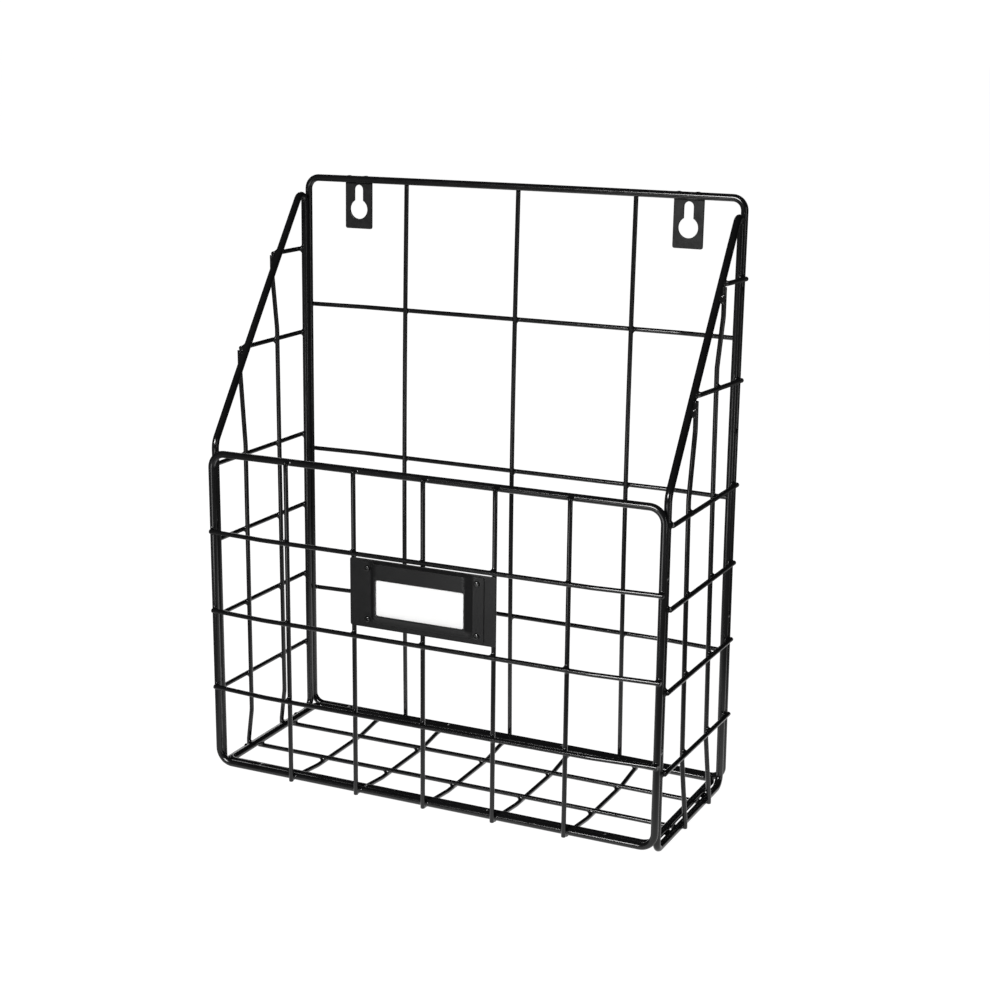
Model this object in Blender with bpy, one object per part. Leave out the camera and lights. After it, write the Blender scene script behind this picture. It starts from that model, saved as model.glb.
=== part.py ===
"""Hanging wire file rack: five welded wire panels, two hanging tabs, screwed-on label holder with a slide-out card.
Units are metres, +Z up, front of the rack towards -Y, origin under the middle of the bounding box."""
import bpy
import bmesh
from math import sin, cos, tan, pi, radians, atan2, hypot
from mathutils import Vector

# ---------------------------------------------------------------- dimensions
GAP = 0.0003                 # weld and seat clearance between separate pieces
THICK_D = 0.0048             # frame wire
THIN_D = 0.0031              # grid wire
TR = THICK_D / 2
NR = THIN_D / 2
LAYER1 = TR + NR + GAP       # frame centre to first grid layer
LAYER2 = LAYER1 + THIN_D + GAP
STEP = THICK_D + GAP         # frame lying against frame

HALF_W = 0.160               # post centres, all panels
BASE_Z = LAYER2 + NR * cos(pi / 10)   # lower rail centres, runners resting at z = 0
FRONT_TOP = BASE_Z + 0.2193
BACK_TOP = BASE_Z + 0.3926
SIDE_BASE = BASE_Z - 0.0028
SIDE_BACK_Y = 0.1242         # back posts of the side panels, front frame at y = 0
BACK_Y = SIDE_BACK_Y + STEP

FRONT_R = 0.0100             # bend radii on the wire centre
BACK_R = 0.0080
BOTTOM_R = 0.0060
SIDE_R_TIGHT = 0.0050
SIDE_R_BACK = 0.0085
SIDE_R_BEND = 0.0140

FRONT_V = (-0.1004, -0.0502, 0.0, 0.0502, 0.1004)
FRONT_H = (0.1660, 0.1104, 0.0557)
BACK_V = (-0.0845, 0.0, 0.0845)
BACK_H = (0.3025, 0.1962, 0.0900)
SIDE_V = (0.0412, 0.0866)
SIDE_H = (0.3427, 0.2829, 0.2083, 0.1554, 0.1022, 0.0491)
BOTTOM_FB = (-0.1016, -0.0508, 0.0, 0.0508, 0.1016)
BOTTOM_LR = (0.0455, 0.0912)
SLANT_Y0 = -0.0191           # slanted wire: y at SLANT_Z0, and its run per rise
SLANT_Z0 = BASE_Z + 0.1920
SLANT_RUN = 0.7126

TAB_X = 0.1215
TAB_W = 0.0207
TAB_T = 0.0015
TAB_BOTTOM = BACK_TOP - 0.0344
KEY_HEAD_D = 0.0136
KEY_SLOT_D = 0.0067
KEY_HEAD_Z = BACK_TOP - 0.0209
KEY_SLOT_Z = BACK_TOP - 0.00735

PLATE_W, PLATE_H, PLATE_T = 0.1042, 0.0460, 0.0010
PLATE_Z = BASE_Z + 0.1404
BEZEL_W, BEZEL_H, BEZEL_T = 0.0880, 0.0435, 0.0006
BOSS_H = 0.0040
BOSS_X0, BOSS_X1 = 0.0362, 0.0325       # foot and crown of the side walls
BOSS_Z0, BOSS_Z1 = -0.0190, -0.0136     # foot and crown of the lower wall
BOSS_TOP = 0.0210
WIN_X, WIN_Z0, WIN_Z1 = 0.0316, -0.0127, 0.0112
SCREW_X, SCREW_Z = 0.0390, 0.0172
SCREW_HEAD_D, SCREW_HEAD_H, SCREW_SHANK_D = 0.0042, 0.0012, 0.0020
SCREW_HOLE_D = 0.0028
CARD_W, CARD_H, CARD_T = 0.0654, 0.0352, 0.0004
CARD_Z0 = -0.0149

PLATE_BACK = -(LAYER1 + NR + GAP)
PLATE_FRONT = PLATE_BACK - PLATE_T
FLANGE_FRONT = PLATE_FRONT - GAP - BEZEL_T
BOSS_FRONT = FLANGE_FRONT - BOSS_H
CARD_Y = -(LAYER2 + NR + 0.0004 + CARD_T / 2)
BACK_FACE = BACK_Y + LAYER2 + NR
Y_SHIFT = -(BOSS_FRONT + BACK_FACE) / 2

for ob in list(bpy.data.objects):
    bpy.data.objects.remove(ob, do_unlink=True)


# ---------------------------------------------------------------- helpers
def material(name, rgb, rough, metallic):
    m = bpy.data.materials.new(name)
    m.use_nodes = True
    b = m.node_tree.nodes["Principled BSDF"]
    b.inputs["Base Color"].default_value = (*rgb, 1)
    b.inputs["Roughness"].default_value = rough
    b.inputs["Metallic"].default_value = metallic
    return m


def add(name, me, mat, smooth=True, angle=35):
    ob = bpy.data.objects.new(name, me)
    bpy.context.scene.collection.objects.link(ob)
    me.materials.clear()
    me.materials.append(mat)
    if smooth:
        me.shade_smooth()
        me.set_sharp_from_angle(angle=radians(angle))
    return ob


def shifted(pts):
    return [Vector((p[0], p[1] + Y_SHIFT, p[2])) for p in pts]


def fillet(pts, radii, steps, closed):
    """Round the corners of a polyline; radii per point, 0 keeps the point."""
    out = []
    n = len(pts)
    for i in range(n):
        p = Vector(pts[i])
        r = radii[i]
        if r <= 0 or (not closed and i in (0, n - 1)):
            out.append(p)
            continue
        a = (Vector(pts[i - 1]) - p).normalized()
        b = (Vector(pts[(i + 1) % n]) - p).normalized()
        half = a.angle(b) / 2
        t = r / tan(half)
        centre = p + (a + b).normalized() * (r / sin(half))
        u = (p + a * t) - centre
        v = (p + b * t) - centre
        sweep = u.angle(v)
        for k in range(steps + 1):
            w = k / steps
            out.append(centre + (u * sin((1 - w) * sweep) + v * sin(w * sweep)) / sin(sweep))
    return out


def wire(name, pts, radius, mat, closed=False, sides=3):
    """Round wire swept along a polyline, closed loop or with flat sheared ends."""
    cu = bpy.data.curves.new(name + "_path", "CURVE")
    cu.dimensions = "3D"
    cu.bevel_depth = radius
    cu.bevel_resolution = sides
    cu.use_fill_caps = not closed
    cu.render_resolution_u = 0
    sp = cu.splines.new("POLY")
    sp.points.add(len(pts) - 1)
    for q, p in zip(sp.points, shifted(pts)):
        q.co = (p.x, p.y, p.z, 1)
    sp.use_cyclic_u = closed
    tmp = bpy.data.objects.new(name + "_tmp", cu)
    bpy.context.scene.collection.objects.link(tmp)
    bpy.context.view_layer.update()
    me = bpy.data.meshes.new_from_object(tmp.evaluated_get(bpy.context.evaluated_depsgraph_get()))
    bpy.data.objects.remove(tmp, do_unlink=True)
    bpy.data.curves.remove(cu)
    bm = bmesh.new()
    bm.from_mesh(me)
    bmesh.ops.remove_doubles(bm, verts=bm.verts, dist=1e-6)
    bmesh.ops.recalc_face_normals(bm, faces=bm.faces)
    bm.to_mesh(me)
    bm.free()
    me.name = name
    return add(name, me, mat)


def box_bm(x0, x1, y0, y1, z0, z1):
    bm = bmesh.new()
    bmesh.ops.create_cube(bm, size=1)
    for v in bm.verts:
        v.co = Vector(((x0 + x1) / 2 + v.co.x * (x1 - x0),
                       (y0 + y1) / 2 + v.co.y * (y1 - y0) + Y_SHIFT,
                       (z0 + z1) / 2 + v.co.z * (z1 - z0)))
    return bm


def round_plate(name, x0, x1, y0, y1, z0, z1, corner, mat):
    """Sheet plate standing in the XZ plane with rounded corners."""
    bm = box_bm(x0, x1, y0, y1, z0, z1)
    edges = [e for e in bm.edges if abs(e.verts[0].co.y - e.verts[1].co.y) > (y1 - y0) / 2]
    bmesh.ops.bevel(bm, geom=edges, offset=corner, segments=3, profile=0.5, affect="EDGES")
    me = bpy.data.meshes.new(name)
    bm.to_mesh(me)
    bm.free()
    return add(name, me, mat)


def rod_y(name, x, z, d, y0, y1, segs=20):
    bm = bmesh.new()
    bmesh.ops.create_cone(bm, cap_ends=True, segments=segs, radius1=d / 2, radius2=d / 2, depth=y1 - y0)
    for v in bm.verts:
        c = v.co.copy()
        v.co = Vector((x + c.x, (y0 + y1) / 2 + c.z + Y_SHIFT, z - c.y))
    me = bpy.data.meshes.new(name)
    bm.to_mesh(me)
    bm.free()
    return me


def cutter(name, me):
    ob = bpy.data.objects.new(name, me)
    bpy.context.scene.collection.objects.link(ob)
    return ob


def cut(ob, meshes):
    """Boolean the cutters out of ob and keep the plain mesh."""
    tools = []
    for i, me in enumerate(meshes):
        c = cutter("cut_%s_%d" % (ob.name, i), me)
        m = ob.modifiers.new("cut%d" % i, "BOOLEAN")
        m.operation = "DIFFERENCE"
        m.solver = "EXACT"
        m.object = c
        tools.append(c)
    bpy.context.view_layer.update()
    me = bpy.data.meshes.new_from_object(ob.evaluated_get(bpy.context.evaluated_depsgraph_get()))
    mat = ob.data.materials[0]
    ob.modifiers.clear()
    ob.data = me
    me.materials.clear()
    me.materials.append(mat)
    me.shade_smooth()
    me.set_sharp_from_angle(angle=radians(35))
    for c in tools:
        bpy.data.objects.remove(c, do_unlink=True)


def slant_y(z):
    return SLANT_Y0 + (z - SLANT_Z0) * SLANT_RUN


def slant_z(y):
    return SLANT_Z0 + (y - SLANT_Y0) / SLANT_RUN


# ---------------------------------------------------------------- materials
coat = material("black_powder_coat", (0.012, 0.012, 0.013), 0.38, 0.0)
coat_sheet = material("black_sheet", (0.014, 0.014, 0.015), 0.45, 0.0)
screw_mat = material("black_screw", (0.02, 0.02, 0.02), 0.35, 0.3)
card_mat = material("white_card", (0.85, 0.85, 0.84), 0.7, 0.0)


def rect_loop(name, corners, radius, steps=5):
    return wire(name, fillet(corners, [radius] * 4, steps, True), TR, coat, closed=True)


# ---------------------------------------------------------------- back panel
rect_loop("back_frame", [(-HALF_W, BACK_Y, BASE_Z), (HALF_W, BACK_Y, BASE_Z),
                         (HALF_W, BACK_Y, BACK_TOP), (-HALF_W, BACK_Y, BACK_TOP)], BACK_R)
for i, x in enumerate(BACK_V):
    wire("back_upright_%d" % (i + 1), [(x, BACK_Y + LAYER1, BASE_Z - 0.0012), (x, BACK_Y + LAYER1, BACK_TOP + 0.0008)], NR, coat)


def cross_wire(name, sign, y_frame, z):
    """Grid wire over the uprights, its two ends drawn in on to the posts."""
    far, near = y_frame + sign * LAYER2, y_frame + sign * LAYER1
    end = HALF_W + (0.0008 if sign > 0 else 0.0018)
    pts = [(-end, near, z), (-HALF_W + 0.004, near, z), (-HALF_W + 0.042, far, z),
           (HALF_W - 0.042, far, z), (HALF_W - 0.004, near, z), (end, near, z)]
    wire(name, fillet(pts, [0, 0.05, 0.05, 0.05, 0.05, 0], 2, False), NR, coat)


for i, z in enumerate(BACK_H):
    cross_wire("back_cross_%d" % (i + 1), 1, BACK_Y, BASE_Z + z)

TAB_BACK = BACK_Y + TR + GAP + TAB_T
for side, sx in (("left", -1), ("right", 1)):
    x = sx * TAB_X
    tab = round_plate("hanging_tab_" + side, x - TAB_W / 2, x + TAB_W / 2, TAB_BACK - TAB_T, TAB_BACK,
                      TAB_BOTTOM, BACK_TOP + 0.0006, 0.0010, coat_sheet)
    y0, y1 = TAB_BACK - 0.004, TAB_BACK + 0.003
    bm = box_bm(x - KEY_SLOT_D / 2, x + KEY_SLOT_D / 2, y0, y1, KEY_HEAD_Z, KEY_SLOT_Z)
    slot = bpy.data.meshes.new("slot")
    bm.to_mesh(slot)
    bm.free()
    cut(tab, [rod_y("head", x, KEY_HEAD_Z, KEY_HEAD_D, y0, y1, 28), slot,
              rod_y("slot_end", x, KEY_SLOT_Z, KEY_SLOT_D, y0 - 0.0002, y1 + 0.0002, 20)])

# ---------------------------------------------------------------- side panels
BEND_Z = slant_z(STEP)
APEX_Z = slant_z(SIDE_BACK_Y)
for side, sx in (("left", -1), ("right", 1)):
    x = sx * HALF_W
    loop = [(x, STEP, SIDE_BASE), (x, SIDE_BACK_Y, SIDE_BASE), (x, SIDE_BACK_Y, APEX_Z), (x, STEP, BEND_Z)]
    wire(side + "_frame", fillet(loop, [SIDE_R_TIGHT, SIDE_R_BACK, SIDE_R_TIGHT, SIDE_R_BEND], 5, True), TR, coat, closed=True)
    xo = sx * (HALF_W + LAYER1)
    xi = sx * (HALF_W + LAYER1 - THIN_D - GAP)
    for i, z in enumerate(SIDE_H):
        zz = BASE_Z + z
        y0 = STEP - 0.0012 if zz < BEND_Z else slant_y(zz) - 0.0018
        wire("%s_cross_%d" % (side, i + 1), [(xo, y0, zz), (xo, SIDE_BACK_Y + 0.0026, zz)], NR, coat)
    for i, y in enumerate(SIDE_V):
        top = slant_z(y)
        z6 = BASE_Z + SIDE_H[5]
        zt = BASE_Z + (SIDE_H[2] if i == 0 else SIDE_H[1])
        bottom = SIDE_BASE - 0.0006
        pts = [(xo, y, bottom), (xo, y, SIDE_BASE + 0.005), (xi, y, z6 - 0.008),
               (xi, y, zt + 0.008), (xo, y, top - 0.012), (xo, y, top + 0.0008)]
        wire("%s_upright_%d" % (side, i + 1), fillet(pts, [0, 0.03, 0.03, 0.03, 0.03, 0], 2, False), NR, coat)

# ---------------------------------------------------------------- front panel
rect_loop("front_frame", [(-HALF_W, 0, BASE_Z), (HALF_W, 0, BASE_Z), (HALF_W, 0, FRONT_TOP), (-HALF_W, 0, FRONT_TOP)], FRONT_R)
for i, x in enumerate(FRONT_V):
    wire("front_upright_%d" % (i + 1), [(x, -LAYER1, BASE_Z - TR - 0.0002), (x, -LAYER1, FRONT_TOP + 0.0004)], NR, coat)
for i, z in enumerate(FRONT_H):
    cross_wire("front_cross_%d" % (i + 1), -1, 0.0, BASE_Z + z)

# ---------------------------------------------------------------- bottom panel
bx = HALF_W - STEP
rect_loop("bottom_frame", [(-bx, STEP, BASE_Z), (bx, STEP, BASE_Z), (bx, SIDE_BACK_Y, BASE_Z), (-bx, SIDE_BACK_Y, BASE_Z)], BOTTOM_R)
for i, y in enumerate(BOTTOM_LR):
    z = BASE_Z - LAYER1
    wire("bottom_cross_%d" % (i + 1), [(-bx - 0.0020, y, z), (bx + 0.0020, y, z)], NR, coat)
for i, x in enumerate(BOTTOM_FB):
    zn, zf = BASE_Z - LAYER1, BASE_Z - LAYER2
    pts = [(x, STEP - 0.0022, zn), (x, STEP + 0.003, zn), (x, BOTTOM_LR[0] - 0.008, zf),
           (x, BOTTOM_LR[1] + 0.008, zf), (x, SIDE_BACK_Y - 0.003, zn), (x, SIDE_BACK_Y + 0.0022, zn)]
    wire("bottom_runner_%d" % (i + 1), fillet(pts, [0, 0.03, 0.03, 0.03, 0.03, 0], 2, False), NR, coat)

# ---------------------------------------------------------------- label holder
plate = round_plate("label_plate", -PLATE_W / 2, PLATE_W / 2, PLATE_FRONT, PLATE_BACK,
                    PLATE_Z - PLATE_H / 2, PLATE_Z + PLATE_H / 2, 0.0012, coat_sheet)
SCREWS = [(-SCREW_X, SCREW_Z), (SCREW_X, SCREW_Z), (-SCREW_X, -SCREW_Z), (SCREW_X, -SCREW_Z)]


def screw_holes():
    return [rod_y("hole", x, PLATE_Z + z, SCREW_HOLE_D, PLATE_BACK - 0.006, PLATE_BACK + 0.004, 14) for x, z in SCREWS]


cut(plate, screw_holes())


def boss_height(x, z):
    rx = (BOSS_X0 - abs(x)) / (BOSS_X0 - BOSS_X1)
    rz = (z - BOSS_Z0) / (BOSS_Z1 - BOSS_Z0)
    return BOSS_H * max(0.0, min(1.0, rx, rz))


def bezel_mesh():
    """Pressed surround: flat flange, sloping walls left, right and below, open along the top, window pressed out."""
    fx = (BOSS_X0 - WIN_X) / (BOSS_X0 - BOSS_X1)
    fz = (WIN_Z0 - BOSS_Z0) / (BOSS_Z1 - BOSS_Z0)
    fr = sorted({0.0, fx, fz, 1.0})
    xs = [BOSS_X0 - f * (BOSS_X0 - BOSS_X1) for f in fr]
    xs = [-BEZEL_W / 2] + [-v for v in xs] + [v for v in reversed(xs)] + [BEZEL_W / 2]
    zs = [-BEZEL_H / 2] + [BOSS_Z0 + f * (BOSS_Z1 - BOSS_Z0) for f in fr] + [WIN_Z1, BOSS_TOP]
    bm = bmesh.new()
    grid = {}
    for i, x in enumerate(xs):
        for k, z in enumerate(zs):
            zz = z
            grid[i, k] = bm.verts.new((x, FLANGE_FRONT - boss_height(x, z) + Y_SHIFT, PLATE_Z + zz))
    tol = 1e-7
    for i in range(len(xs) - 1):
        for k in range(len(zs) - 1):
            x0, x1, z0, z1 = xs[i], xs[i + 1], zs[k], zs[k + 1]
            if x0 > -WIN_X - tol and x1 < WIN_X + tol and z0 > WIN_Z0 - tol and z1 < WIN_Z1 + tol:
                continue
            a, b, c, d = grid[i, k], grid[i + 1, k], grid[i + 1, k + 1], grid[i, k + 1]
            diag = BOSS_Z0 - tol < z0 and z1 < BOSS_Z1 + tol and abs((x0 + x1) / 2) > BOSS_X1 and abs((x0 + x1) / 2) < BOSS_X0
            if diag and x0 < 0:
                bm.faces.new((a, b, c))
                bm.faces.new((a, c, d))
            elif diag:
                bm.faces.new((a, b, d))
                bm.faces.new((b, c, d))
            else:
                bm.faces.new((a, b, c, d))
    bmesh.ops.recalc_face_normals(bm, faces=bm.faces)
    # normals towards the viewer side (-Y), thickness goes behind
    up = sum(f.normal.y * f.calc_area() for f in bm.faces)
    if up > 0:
        bmesh.ops.reverse_faces(bm, faces=bm.faces)
    me = bpy.data.meshes.new("label_bezel")
    bm.to_mesh(me)
    bm.free()
    return me


bezel = add("label_bezel", bezel_mesh(), coat_sheet, angle=25)
sol = bezel.modifiers.new("sheet", "SOLIDIFY")
sol.thickness = BEZEL_T
sol.offset = -1
sol.use_even_offset = True
cut(bezel, screw_holes())


def screw(name, x, z):
    """Small pan head screw: domed head on a short shank, one turned body."""
    r, h, s = SCREW_HEAD_D / 2, SCREW_HEAD_H, SCREW_SHANK_D / 2
    seat = FLANGE_FRONT - GAP
    prof = [(0.0, seat - h), (r * 0.55, seat - h * 0.92), (r * 0.9, seat - h * 0.55), (r, seat - h * 0.12), (r, seat),
            (s, seat), (s, PLATE_BACK + 0.0010), (0.0, PLATE_BACK + 0.0010)]
    bm = bmesh.new()
    vs = [bm.verts.new((px, py + Y_SHIFT, 0)) for px, py in prof]
    for a, b in zip(vs[:-1], vs[1:]):
        bm.edges.new((a, b))
    bmesh.ops.spin(bm, geom=list(bm.verts) + list(bm.edges), cent=(0, 0, 0), axis=(0, 1, 0), angle=2 * pi, steps=14, use_merge=True)
    bmesh.ops.remove_doubles(bm, verts=bm.verts, dist=1e-6)
    bmesh.ops.recalc_face_normals(bm, faces=bm.faces)
    for v in bm.verts:
        v.co.x += x
        v.co.z += z + PLATE_Z
    me = bpy.data.meshes.new(name)
    bm.to_mesh(me)
    bm.free()
    return add(name, me, screw_mat)


for i, (x, z) in enumerate(SCREWS):
    screw("label_screw_%d" % (i + 1), x, z)

# card on its own slide axis
rail = bpy.data.objects.new("card_slide", None)
bpy.context.scene.collection.objects.link(rail)
rail.location = (0, CARD_Y + Y_SHIFT, PLATE_Z + CARD_Z0)
bm = bmesh.new()
bmesh.ops.create_cube(bm, size=1)
for v in bm.verts:
    v.co = Vector((v.co.x * CARD_W, v.co.y * CARD_T, (v.co.z + 0.5) * CARD_H))
me = bpy.data.meshes.new("label_card")
bm.to_mesh(me)
bm.free()
card = add("label_card", me, card_mat, smooth=False)
card.parent = rail
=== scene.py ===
"""Looks of the hanging wire file rack: round welded wires with weld fillets, pressed tabs and label holder, card, studio."""
import random
from math import sin, cos, tan, pi, radians, sqrt, hypot, atan2

import bmesh
import bpy
import numpy as np
from mathutils import Matrix, Vector


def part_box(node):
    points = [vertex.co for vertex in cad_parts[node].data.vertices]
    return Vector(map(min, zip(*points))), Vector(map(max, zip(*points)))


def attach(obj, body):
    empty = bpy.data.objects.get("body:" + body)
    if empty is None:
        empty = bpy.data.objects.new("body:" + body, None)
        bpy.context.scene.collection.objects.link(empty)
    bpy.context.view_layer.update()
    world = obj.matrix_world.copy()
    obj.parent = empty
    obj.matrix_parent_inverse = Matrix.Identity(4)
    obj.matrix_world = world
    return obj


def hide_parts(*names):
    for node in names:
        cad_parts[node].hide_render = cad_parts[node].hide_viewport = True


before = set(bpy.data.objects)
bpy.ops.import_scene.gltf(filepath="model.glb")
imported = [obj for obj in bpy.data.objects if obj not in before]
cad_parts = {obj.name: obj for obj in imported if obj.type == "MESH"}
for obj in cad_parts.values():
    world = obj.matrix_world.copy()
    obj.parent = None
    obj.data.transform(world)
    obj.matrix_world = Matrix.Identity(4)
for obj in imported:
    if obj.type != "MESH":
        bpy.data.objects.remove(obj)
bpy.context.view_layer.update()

rng = random.Random(7)

# ---------------------------------------------------------------- dimensions, as in the CAD source
THICK_D, THIN_D = 0.0048, 0.0031
TR, NR = THICK_D / 2, THIN_D / 2
CAD_GAP = 0.0003
CAD_LAYER1 = TR + NR + CAD_GAP
CAD_LAYER2 = CAD_LAYER1 + THIN_D + CAD_GAP
SINK = -0.0001                   # welded wires bite slightly into each other
LAYER1 = TR + NR + SINK
LAYER2 = LAYER1 + THIN_D + SINK
STEP = THICK_D + SINK

HALF_W = 0.160
BASE_Z = CAD_LAYER2 + NR * cos(pi / 10)
FRONT_TOP = BASE_Z + 0.2193
BACK_TOP = BASE_Z + 0.3926
SIDE_BASE = BASE_Z - 0.0028
SIDE_BACK_Y = 0.1242
BACK_Y = SIDE_BACK_Y + STEP
Y_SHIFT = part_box("label_bezel")[0].y - (-(CAD_LAYER1 + NR + CAD_GAP) - 0.0010 - CAD_GAP - 0.0006 - 0.0040)

FRONT_R, BACK_R, BOTTOM_R = 0.0100, 0.0080, 0.0060
SIDE_R_TIGHT, SIDE_R_BACK, SIDE_R_BEND = 0.0050, 0.0085, 0.0140

FRONT_V = (-0.1004, -0.0502, 0.0, 0.0502, 0.1004)
FRONT_H = (0.1660, 0.1104, 0.0557)
BACK_V = (-0.0845, 0.0, 0.0845)
BACK_H = (0.3025, 0.1962, 0.0900)
SIDE_V = (0.0412, 0.0866)
SIDE_H = (0.3427, 0.2829, 0.2083, 0.1554, 0.1022, 0.0491)
BOTTOM_FB = (-0.1016, -0.0508, 0.0, 0.0508, 0.1016)
BOTTOM_LR = (0.0455, 0.0912)
SLANT_Y0, SLANT_Z0, SLANT_RUN = -0.0191, BASE_Z + 0.1920, 0.7126

TAB_X, TAB_W, TAB_T = 0.1215, 0.0207, 0.0015
TAB_BOTTOM, TAB_TOP = BACK_TOP - 0.0344, BACK_TOP + 0.0006
KEY_HEAD_D, KEY_SLOT_D = 0.0136, 0.0067
KEY_HEAD_Z, KEY_SLOT_Z = BACK_TOP - 0.0209, BACK_TOP - 0.00735

PLATE_W, PLATE_H, PLATE_T = 0.1042, 0.0460, 0.0010
PLATE_Z = BASE_Z + 0.1404
BEZEL_W, BEZEL_H, BEZEL_T = 0.0880, 0.0435, 0.0006
BOSS_H = 0.0040
BOSS_X0, BOSS_X1 = 0.0362, 0.0325
BOSS_Z0, BOSS_Z1 = -0.0190, -0.0136
BOSS_TOP = 0.0210
WIN_X, WIN_Z0, WIN_Z1 = 0.0316, -0.0127, 0.0112
SCREW_X, SCREW_Z = 0.0390, 0.0172
SCREW_HEAD_D, SCREW_HEAD_H, SCREW_SHANK_D = 0.0042, 0.0012, 0.0020
CARD_W, CARD_H, CARD_T = 0.0654, 0.0352, 0.0004
CARD_Z0 = -0.0149

TOUCH = 0.00004
PLATE_BACK = -(LAYER1 + NR + TOUCH)
PLATE_FRONT = PLATE_BACK - PLATE_T
FLANGE_FRONT = PLATE_FRONT - TOUCH - BEZEL_T
BOSS_FRONT = FLANGE_FRONT - BOSS_H


def slant_y(z):
    return SLANT_Y0 + (z - SLANT_Z0) * SLANT_RUN


def slant_z(y):
    return SLANT_Z0 + (y - SLANT_Y0) / SLANT_RUN


# ---------------------------------------------------------------- mesh helpers
def row(p):
    return (p[0], p[1] + Y_SHIFT, p[2])


def settle(v):
    """Hand-welded panels are never dead square: the rear of the rack leans a millimetre or so, and the label sits a touch off centre."""
    back = np.clip(v[:, 1] / BACK_Y, 0, 1.05)
    up = np.clip((v[:, 2] - BASE_Z) / (BACK_TOP - BASE_Z), -0.05, 1.05)
    right = np.clip((v[:, 0] / HALF_W + 1) / 2, -0.03, 1.03)
    edge = right ** 4
    dx = (1 - up) * (edge * 0.0020 - (1 - right) * 0.0004) + up * up * ((1 - right) * 0.0015 + right * 0.0009)
    dx = dx - 0.0007 * np.sin(pi * np.clip(up, 0, 1)) * right
    dz = (1 - up) * edge * -0.0012 + up ** 3 * -0.0004
    middle = np.sin(pi * np.clip(right, 0, 1))
    dx = dx + 0.0004 * middle
    dz = dz + 0.0008 * np.clip(up - 0.6, 0, 0.4) * middle
    v = v.copy()
    v[:, 0] += back * dx
    v[:, 2] += back * dz
    return v


def make_piece(name, verts, faces, mat, body, replaced=(), angle=40, shift=True, flat=False):
    me = bpy.data.meshes.new(name)
    v = settle(np.asarray(verts, float))
    if name.startswith("label_"):
        v[:, 0] += 0.0005
    if shift:
        v = v + np.array([0, Y_SHIFT, 0])
    me.from_pydata(v.tolist(), [], [list(f) for f in faces])
    me.validate()
    bm = bmesh.new()
    bm.from_mesh(me)
    bmesh.ops.recalc_face_normals(bm, faces=bm.faces)
    bm.to_mesh(me)
    bm.free()
    me.materials.append(mat)
    me.shade_smooth()
    if angle:
        me.set_sharp_from_angle(angle=radians(angle))
    if flat:
        for p in me.polygons:
            if abs(p.normal.y) > 0.9995:
                p.use_smooth = False
    ob = bpy.data.objects.new(name, me)
    bpy.context.scene.collection.objects.link(ob)
    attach(ob, body)
    if replaced:
        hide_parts(*replaced)
    return ob


def fillet(pts, radii, steps, closed):
    out = []
    n = len(pts)
    for i in range(n):
        p = Vector(pts[i])
        r = radii[i]
        if r <= 0 or (not closed and i in (0, n - 1)):
            out.append(p)
            continue
        a = (Vector(pts[i - 1]) - p).normalized()
        b = (Vector(pts[(i + 1) % n]) - p).normalized()
        half = a.angle(b) / 2
        t = r / tan(half)
        centre = p + (a + b).normalized() * (r / sin(half))
        u, v = (p + a * t) - centre, (p + b * t) - centre
        sweep = u.angle(v)
        for k in range(steps + 1):
            w = k / steps
            out.append(centre + (u * sin((1 - w) * sweep) + v * sin(w * sweep)) / sin(sweep))
    return out


def resample(pts, closed, longest=0.009):
    """Cut the long straights so that a wire can bow a little."""
    out = []
    n = len(pts)
    for i in range(n if closed else n - 1):
        a, b = Vector(pts[i]), Vector(pts[(i + 1) % n])
        k = max(1, int((b - a).length / longest))
        out += [a.lerp(b, j / k) for j in range(k)]
    if not closed:
        out.append(Vector(pts[-1]))
    return out


def tube(pts, radius, ref, closed, sides=24):
    """Rings of a round wire; open ends are sheared flat with a small rounded rim."""
    p = np.array([tuple(q) for q in pts], float)
    n = len(p)
    if closed:
        tan_v = np.roll(p, -1, 0) - np.roll(p, 1, 0)
    else:
        tan_v = np.gradient(p, axis=0)
    tan_v /= np.linalg.norm(tan_v, axis=1)[:, None]
    rad = np.full(n, radius)
    if not closed:
        rim = 0.00042
        def end(pt, tv, sign):
            return [(pt - tv * sign * rim, 1.0), (pt - tv * sign * rim * 0.45, 0.955), (pt - tv * sign * rim * 0.12, 0.86), (pt, 0.74)]
        head = end(p[0], tan_v[0], -1)[::-1]
        tail = end(p[-1], tan_v[-1], 1)
        # rim rings replace the end points; drop path points that the rim passes
        keep = [i for i in range(1, n - 1) if np.linalg.norm(p[i] - p[0]) > rim * 1.3 and np.linalg.norm(p[i] - p[-1]) > rim * 1.3]
        q = [h[0] for h in head] + [p[i] for i in keep] + [t[0] for t in tail]
        tv = [tan_v[0]] * 4 + [tan_v[i] for i in keep] + [tan_v[-1]] * 4
        rad = np.array([radius * h[1] for h in head] + [radius] * len(keep) + [radius * t[1] for t in tail])
        p, tan_v = np.array(q), np.array(tv)
        n = len(p)
    ref = np.array(ref, float)
    side = np.cross(ref, tan_v)
    side /= np.linalg.norm(side, axis=1)[:, None]
    up = np.cross(tan_v, side)
    a = np.arange(sides) * 2 * pi / sides
    rings = p[:, None, :] + rad[:, None, None] * (np.cos(a)[None, :, None] * side[:, None, :] + np.sin(a)[None, :, None] * up[:, None, :])
    verts = rings.reshape(-1, 3)
    faces = []
    for i in range(n if closed else n - 1):
        j = (i + 1) % n
        for k in range(sides):
            m = (k + 1) % sides
            faces.append((i * sides + k, i * sides + m, j * sides + m, j * sides + k))
    if not closed:
        faces.append(tuple(range(sides))[::-1])
        faces.append(tuple((n - 1) * sides + k for k in range(sides)))
    return verts, faces


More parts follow.
